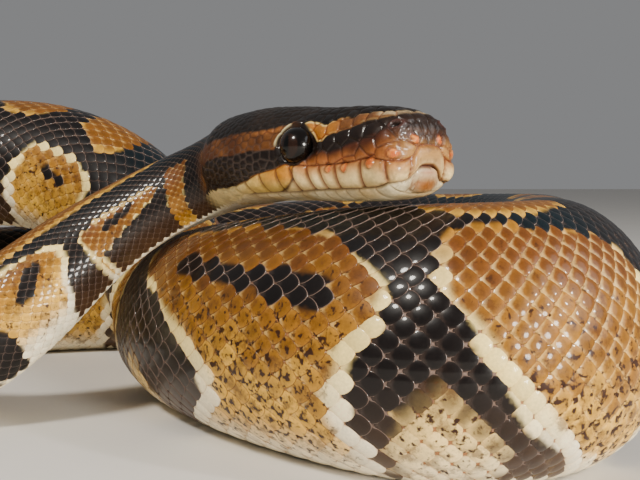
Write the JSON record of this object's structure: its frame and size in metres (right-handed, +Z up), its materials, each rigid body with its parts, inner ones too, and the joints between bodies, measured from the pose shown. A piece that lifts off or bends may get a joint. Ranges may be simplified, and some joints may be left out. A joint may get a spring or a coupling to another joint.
{
  "type": "ball python",
  "caption": "Life-size still model of a coiled ball python, its head resting on the front coil, for lying on a floor, shelf or branch table.",
  "frame": {"origin": "centre of the bounding box on the ground the coils lie on", "axes": "+Z up from the ground, +X to the right along the longest side of the coil, +Y away from the front coil and the head's near side"},
  "size_m": [0.2665, 0.1684, 0.0735],
  "materials": {
    "scales": "smooth glossy scales, black, brown and cream",
    "eye": "wet, very glossy, nearly black"
  },
  "bodies": {
    "root": {"head": "scales", "jaw": "scales", "eye_left": "eye", "eye_right": "eye", "neck": "scales", "trunk_1": "scales", "trunk_2": "scales", "trunk_3": "scales", "trunk_4": "scales", "trunk_5": "scales", "trunk_6": "scales", "tail": "scales"}
  },
  "joints": []
}
